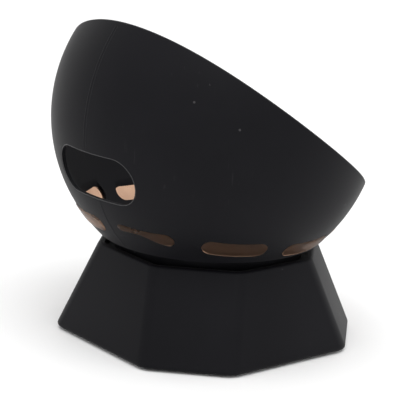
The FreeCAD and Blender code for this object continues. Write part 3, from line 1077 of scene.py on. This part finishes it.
    def foot(self) -> bpy.types.Object:
        """The foot ring that drops over the turntable, with softened edges.

        Returns:
            The ring's object.
        """
        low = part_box("bowl_shell")[0].z
        tall = self.floor_under + self.wall / 4 - low
        Bench.clear()
        bpy.ops.mesh.primitive_cylinder_add(
            vertices=self.segments, radius=self.foot_outer, depth=tall,
            location=(0.0, 0.0, low + tall / 2))
        ring = Bench.settle(bpy.context.object)
        bpy.ops.mesh.primitive_cylinder_add(
            vertices=self.segments, radius=self.foot_inner, depth=2 * tall,
            location=(0.0, 0.0, low + tall / 2))
        Bench.cut(ring, Bench.settle(bpy.context.object))
        Bench.pick_edges(ring, lambda e: all(abs(v.co.z - low) < CLOSE for v in e.verts)
                         and e.calc_face_angle(0.0) >= self.foot_corner)
        bpy.ops.mesh.bevel(offset=self.foot_soft, segments=3, affect="EDGES")
        bpy.ops.object.mode_set(mode="OBJECT")
        return ring

    def build(self, finish: SoftTouch) -> None:
        """Build the shell with its rolled rim and slot edge, and dress it.

        Args:
            finish: The shell's finish.
        """
        shell = self.blank()
        Bench.cut(shell, self.mouth_tool())
        Bench.cut(shell, self.slot_tool())
        for window in self.windows:
            Bench.cut(shell, self.window_tool(window))
        half = self.wall / 2
        rim = Bench.bead("rim", self.rim_line(half), half * self.rim_swell, True)
        edges = [Bench.bead("slot_edge", self.slot_line(self.radius - self.slot_bead,
                                                        self.slot_bead), self.slot_bead, True),
                 Bench.bead("slot_inner_edge",
                            self.slot_line(self.radius - self.wall + self.slot_bead,
                                           self.slot_bead), self.slot_bead, True)]
        whole = Bench.join([shell, rim, *edges, self.foot()], "bowl_body")
        Bench.smooth(whole)
        Bench.finish(whole, finish.paint(), Body.BOWL, Slot.SOFT_BLACK, ["bowl_shell"])

    def meridian(self, side: float, low: float, high: float, count: int) -> list[Vector]:
        """A line up the back of the ball at a distance from its middle plane, between heights.

        Args:
            side: Distance from the middle plane.
            low: The lower height.
            high: The upper height.
            count: Steps in the line.

        Returns:
            The line's points.
        """
        line = []
        for i in range(count + 1):
            z = low + (high - low) * i / count
            back = math.sqrt(self.radius ** 2 - side ** 2 - (z - self.centre.z) ** 2)
            line.append(Vector((-back, side, z)))
        return line

    def build_parting(self, material: bpy.types.Material) -> None:
        """Build the fine parting line that runs up the back, above and below the slot.

        Args:
            material: The lines' material, lighter than the shell: a painted highlight along the
                ridges.
        """
        gap = self.slot_height / 2 + self.part_gap
        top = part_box("bowl_shell")[1].z - self.part_below_top
        floor = self.floor_under + self.part_above_floor
        lines = [(side, self.slot_middle + gap, top, thick) for side, thick in self.part_upper]
        lines += [(side, floor, self.slot_middle - gap, thick) for side, thick in self.part_lower]
        beads = [Bench.bead("parting", self.meridian(side, low, high, self.part_steps), thick, False)
                 for side, low, high, thick in lines]
        whole = Bench.join(beads, "parting_line")
        Bench.smooth(whole)
        Bench.finish(whole, material, Body.BOWL, Slot.SOFT_BLACK)

    def build_glint(self, material: bpy.types.Material) -> None:
        """Build the fine line along the crest of the slot's outer edge, coloured lighter than the
        shell as a painted highlight.

        Args:
            material: The line's material, lighter and shinier than the shell: a painted highlight.
        """
        shift = self.slot_bead * self.glint_share
        crest = self.slot_line(self.radius - shift, shift)
        line = Bench.bead("slot_glint", crest, self.glint, True)
        Bench.smooth(line)
        Bench.finish(line, material, Body.BOWL, Slot.SOFT_BLACK)

    def build_window(self, window: Window, material: bpy.types.Material) -> None:
        """Build one pane: a thin pillow that stands a little proud of the wall.

        Args:
            window: The window.
            material: The pane's material.
        """
        back = window.outline(grow=-self.pane_play, lift=-self.brow)
        rings = [window.lay(self.centre, back, self.radius - self.land)]
        for step in self.pane_steps:
            share = min(1.0, step)
            rise = self.pane_proud * math.sqrt(1 - (1 - share) ** 2)
            outline = window.outline(grow=-step * self.pane_soft - self.pane_play)
            rings.append(window.lay(self.centre, outline, self.radius - self.pane_play + rise))
        pane = Bench.loft(window.node + "_pane", rings, Window.CORNERS)
        Bench.smooth(pane, self.pane_crease)
        Bench.finish(pane, material, Body.BOWL, Slot.SMOKE_AMBER, [window.node])


# ------------------------------------------------------------------ base


@dataclass
class Base:
    """The flared eight-sided base as one closed block, with soft edges and a sunk deck."""

    turn: float = math.radians(-3.3)
    bottom: float = 0.8 * MM
    top: float = 37.2 * MM
    deck: float = 33.2 * MM
    low_flat: float = 54.2 * MM
    low_bevel: float = 58.8 * MM
    high_flat: float = 42.2 * MM
    high_bevel: float = 42.6 * MM
    lip: float = 2.2 * MM
    edge_round: float = 3.0 * MM
    rim_round: float = 1.0 * MM
    foot_round: float = 2.2 * MM
    upright: float = 10 * MM
    step: float = 0.3 * MM
    pad_inset: float = 1.6 * MM
    pad_depth: float = 1.3 * MM
    crease: float = 28.0

    def ring(self, flat: float, bevel: float) -> list[Vector]:
        """The corners of a square with its corners cut off.

        Args:
            flat: Distance of the sides from the axis.
            bevel: Distance of the cut corners from the axis.

        Returns:
            The eight corners.
        """
        short = math.sqrt(2) * bevel - flat
        pairs = [(flat, -short), (flat, short), (short, flat), (-short, flat),
                 (-flat, short), (-flat, -short), (-short, -flat), (short, -flat)]
        return [Vector((x, y, 0.0)) for x, y in pairs]

    def build(self, finish: SoftTouch) -> None:
        """Build the skirt from an eight-sided bar, and dress it.

        Args:
            finish: The base's finish.
        """
        Bench.clear()
        bpy.ops.mesh.primitive_cylinder_add(vertices=8, radius=self.low_flat,
                                            depth=self.top - self.bottom,
                                            location=(0.0, 0.0, (self.top + self.bottom) / 2),
                                            rotation=(0.0, 0.0, math.pi / 8))
        skirt = Bench.settle(bpy.context.object)
        low = self.ring(self.low_flat, self.low_bevel)
        high = self.ring(self.high_flat, self.high_bevel)
        for vertex in skirt.data.vertices:
            ring = high if vertex.co.z > self.deck else low
            here = Vector((vertex.co.x, vertex.co.y, 0.0))
            nearest = max(ring, key=lambda p: p.normalized().dot(here.normalized()))
            vertex.co.x, vertex.co.y = nearest.x, nearest.y
        self.soften(skirt)
        self.sink(skirt)
        Bench.settle(skirt, Matrix.Rotation(self.turn, 4, "Z"))
        Bench.face_outwards(skirt)
        Bench.smooth(skirt, self.crease)
        skirt.name = skirt.data.name = "base_body"
        Bench.finish(skirt, finish.paint(), Body.BASE, Slot.BASE_BLACK, ["base_skirt"])

    def soften(self, skirt: bpy.types.Object) -> None:
        """Round the eight upright edges, then the edges round the top and the foot.

        Args:
            skirt: The block.
        """
        Bench.pick_edges(skirt, lambda e: abs(e.verts[0].co.z - e.verts[1].co.z) > self.upright)
        bpy.ops.mesh.bevel(offset=self.edge_round, segments=6, affect="EDGES", profile=0.5)
        bpy.ops.object.mode_set(mode="OBJECT")
        for height, amount in ((self.bottom, self.foot_round), (self.top, self.rim_round)):
            Bench.pick_edges(skirt, lambda e, z=height: all(abs(v.co.z - z) < CLOSE
                                                            for v in e.verts))
            bpy.ops.mesh.bevel(offset=amount, segments=5, affect="EDGES", profile=0.5)
            bpy.ops.object.mode_set(mode="OBJECT")

    def sink(self, skirt: bpy.types.Object) -> None:
        """Set the top face in and sink it to the deck, and hollow the foot for the pad.

        Args:
            skirt: The block.
        """
        Bench.pick(skirt, lambda f: f.normal.z > FACING and len(f.verts) > MANY_SIDES)
        bpy.ops.mesh.inset(thickness=self.lip - self.rim_round, use_even_offset=True)
        bpy.ops.mesh.inset(thickness=self.step, use_even_offset=True)
        bpy.ops.transform.translate(value=(0.0, 0.0, -self.step))
        bpy.ops.mesh.extrude_region_move(
            TRANSFORM_OT_translate={"value": (0.0, 0.0, self.deck - self.top + self.step)})
        bpy.ops.object.mode_set(mode="OBJECT")
        Bench.pick(skirt, lambda f: f.normal.z < -FACING and len(f.verts) > MANY_SIDES)
        bpy.ops.mesh.inset(thickness=self.pad_inset, use_even_offset=True)
        bpy.ops.mesh.extrude_region_move(TRANSFORM_OT_translate={"value": (0.0, 0.0, self.pad_depth)})
        bpy.ops.object.mode_set(mode="OBJECT")


# ------------------------------------------------------------------ studio


@dataclass
class Studio:
    """A plain pale floor, soft light from all round and the camera."""

    aim: Vector = field(default_factory=lambda: Vector((0.0, 0.0, 88.0 * MM)))
    azimuth: float = math.radians(-42.71)
    elevation: float = math.radians(15.13)
    roll: float = math.radians(2.94)
    distance: float = 711.8 * MM
    across: float = -4.36 * MM
    rise: float = -33.5 * MM
    lens: float = 161.5
    sensor: float = 36.0
    nearest: float = 0.01
    floor_size: float = 6.0
    floor_drop: float = 0.05 * MM
    floor_pale: Colour = (0.93, 0.93, 0.93)
    floor_paler: Colour = (0.95, 0.95, 0.95)
    lamp_place: Colour = (-0.3, -0.5, 1.3)
    lamp_size: float = 1.2
    lamp_power: float = 9.0

    def camera(self) -> None:
        """Place the camera behind the bowl and to one side, rolled a little."""
        az, el = self.azimuth, self.elevation
        back = Vector((math.sin(az) * math.cos(el), -math.cos(az) * math.cos(el), math.sin(el)))
        level = Vector((math.cos(az), math.sin(az), 0.0))
        upright = back.cross(level)
        right = level * math.cos(self.roll) + upright * math.sin(self.roll)
        up = upright * math.cos(self.roll) - level * math.sin(self.roll)
        place = self.aim + back * self.distance + level * self.across + upright * self.rise
        data = bpy.data.cameras.new("camera")
        data.lens = self.lens
        data.sensor_width = self.sensor
        data.clip_start = self.nearest
        camera = bpy.data.objects.new("camera", data)
        bpy.context.scene.collection.objects.link(camera)
        turn = Matrix((right, up, back)).transposed().to_4x4()
        camera.matrix_world = Matrix.Translation(place) @ turn
        bpy.context.scene.camera = camera

    def floor(self) -> None:
        """Lay the pale floor just under the pad."""
        Bench.clear()
        bpy.ops.mesh.primitive_plane_add(size=self.floor_size, location=(0.0, 0.0, -self.floor_drop))
        floor = Bench.settle(bpy.context.object)
        floor.name = floor.data.name = "floor"
        paint = Paint("pale_floor", self.floor_pale, 0.9)
        paint.set("Base Color", paint.blend(paint.noise(3.0, 2.0), self.floor_pale,
                                            self.floor_paler))
        floor.data.materials.append(paint.material)

    def light(self, name: str, place: Vector, size: float, power: float) -> None:
        """Hang a square soft light that faces the bowl.

        Args:
            name: The light's name.
            place: Where it hangs.
            size: The length of its side.
            power: Its power in watts.
        """
        data = bpy.data.lights.new(name, "AREA")
        data.shape = "SQUARE"
        data.size = size
        data.energy = power
        lamp = bpy.data.objects.new(name, data)
        bpy.context.scene.collection.objects.link(lamp)
        turn = (place - self.aim).to_track_quat("Z", "Y").to_matrix().to_4x4()
        lamp.matrix_world = Matrix.Translation(place) @ turn

    def world(self) -> None:
        """Surround everything with a white sky."""
        world = bpy.data.worlds.new("white_sky")
        world.use_nodes = True
        sky = world.node_tree.nodes["Background"]
        sky.inputs["Color"].default_value = (1.0, 1.0, 1.0, 1.0)
        sky.inputs["Strength"].default_value = 1.0
        bpy.context.scene.world = world

    def build(self) -> None:
        """Set up the whole studio."""
        self.camera()
        self.floor()
        self.light("top_softbox", Vector(self.lamp_place), self.lamp_size, self.lamp_power)
        self.world()
        bpy.context.scene.view_settings.view_transform = "Standard"


# ------------------------------------------------------------------ making

# The parting lines are coloured lighter grey than the shell's black: a painted highlight along the
# ridges.
PARTING_PAINTED_HIGHLIGHT = SoftTouch("parting_painted_highlight", colour=(0.022, 0.022, 0.024),
                         light=(0.030, 0.030, 0.032), sheen=0.15)
# The slot's crest line is coloured lighter than the shell and made shinier: a painted highlight.
GLINT_PAINTED_HIGHLIGHT = SoftTouch("glint_painted_highlight", colour=(0.020, 0.020, 0.022), light=(0.055, 0.055, 0.058),
                      roughness=0.34, sheen=0.30, specular=0.45)


def dress_nodes() -> None:
    """Give every carried node its own finish."""
    finishes = {
        "turntable_disc": Bearing("black_nylon", (0.010, 0.010, 0.011), (0.022, 0.022, 0.023), 0.42),
        "grip_ring": Rubber("grip_rubber"),
        "non_slip_pad": Rubber("pad_rubber"),
        "pivot_bush": Bearing("bush_acetal", (0.62, 0.61, 0.57), (0.48, 0.46, 0.42)),
        "glide_ring": Bearing("glide_acetal", (0.64, 0.63, 0.59), (0.50, 0.48, 0.44)),
        "retaining_screw": PlatedSteel("screw_steel"),
        "retaining_washer": PlatedSteel("washer_steel"),
        "plate_screws": PlatedSteel("plate_screw_steel"),
        "ballast_ring": CastIron("ballast_iron"),
        "bottom_plate": SoftTouch("plate_black", sheen=0.05),
    }
    for name, finish in finishes.items():
        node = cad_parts[name]
        node.data.materials.clear()
        node.data.materials.append(finish.paint())
        LOG.info("%s: %s", name, finish.name)


def main() -> None:
    """Build the studio, the bowl, its windows, the base and the carried nodes' finishes."""
    Studio().build()
    bowl = Bowl.from_frame()
    bowl.build(SoftTouch("shell_black"))
    bowl.build_parting(PARTING_PAINTED_HIGHLIGHT.paint())
    bowl.build_glint(GLINT_PAINTED_HIGHLIGHT.paint())
    pane = SmokePane("smoke_pane").paint()
    for window in bowl.windows:
        bowl.build_window(window, pane)
    Base().build(SoftTouch("base_black"))
    dress_nodes()


if __name__ == "__main__":
    logging.basicConfig(level=logging.INFO, format="%(message)s")
    main()
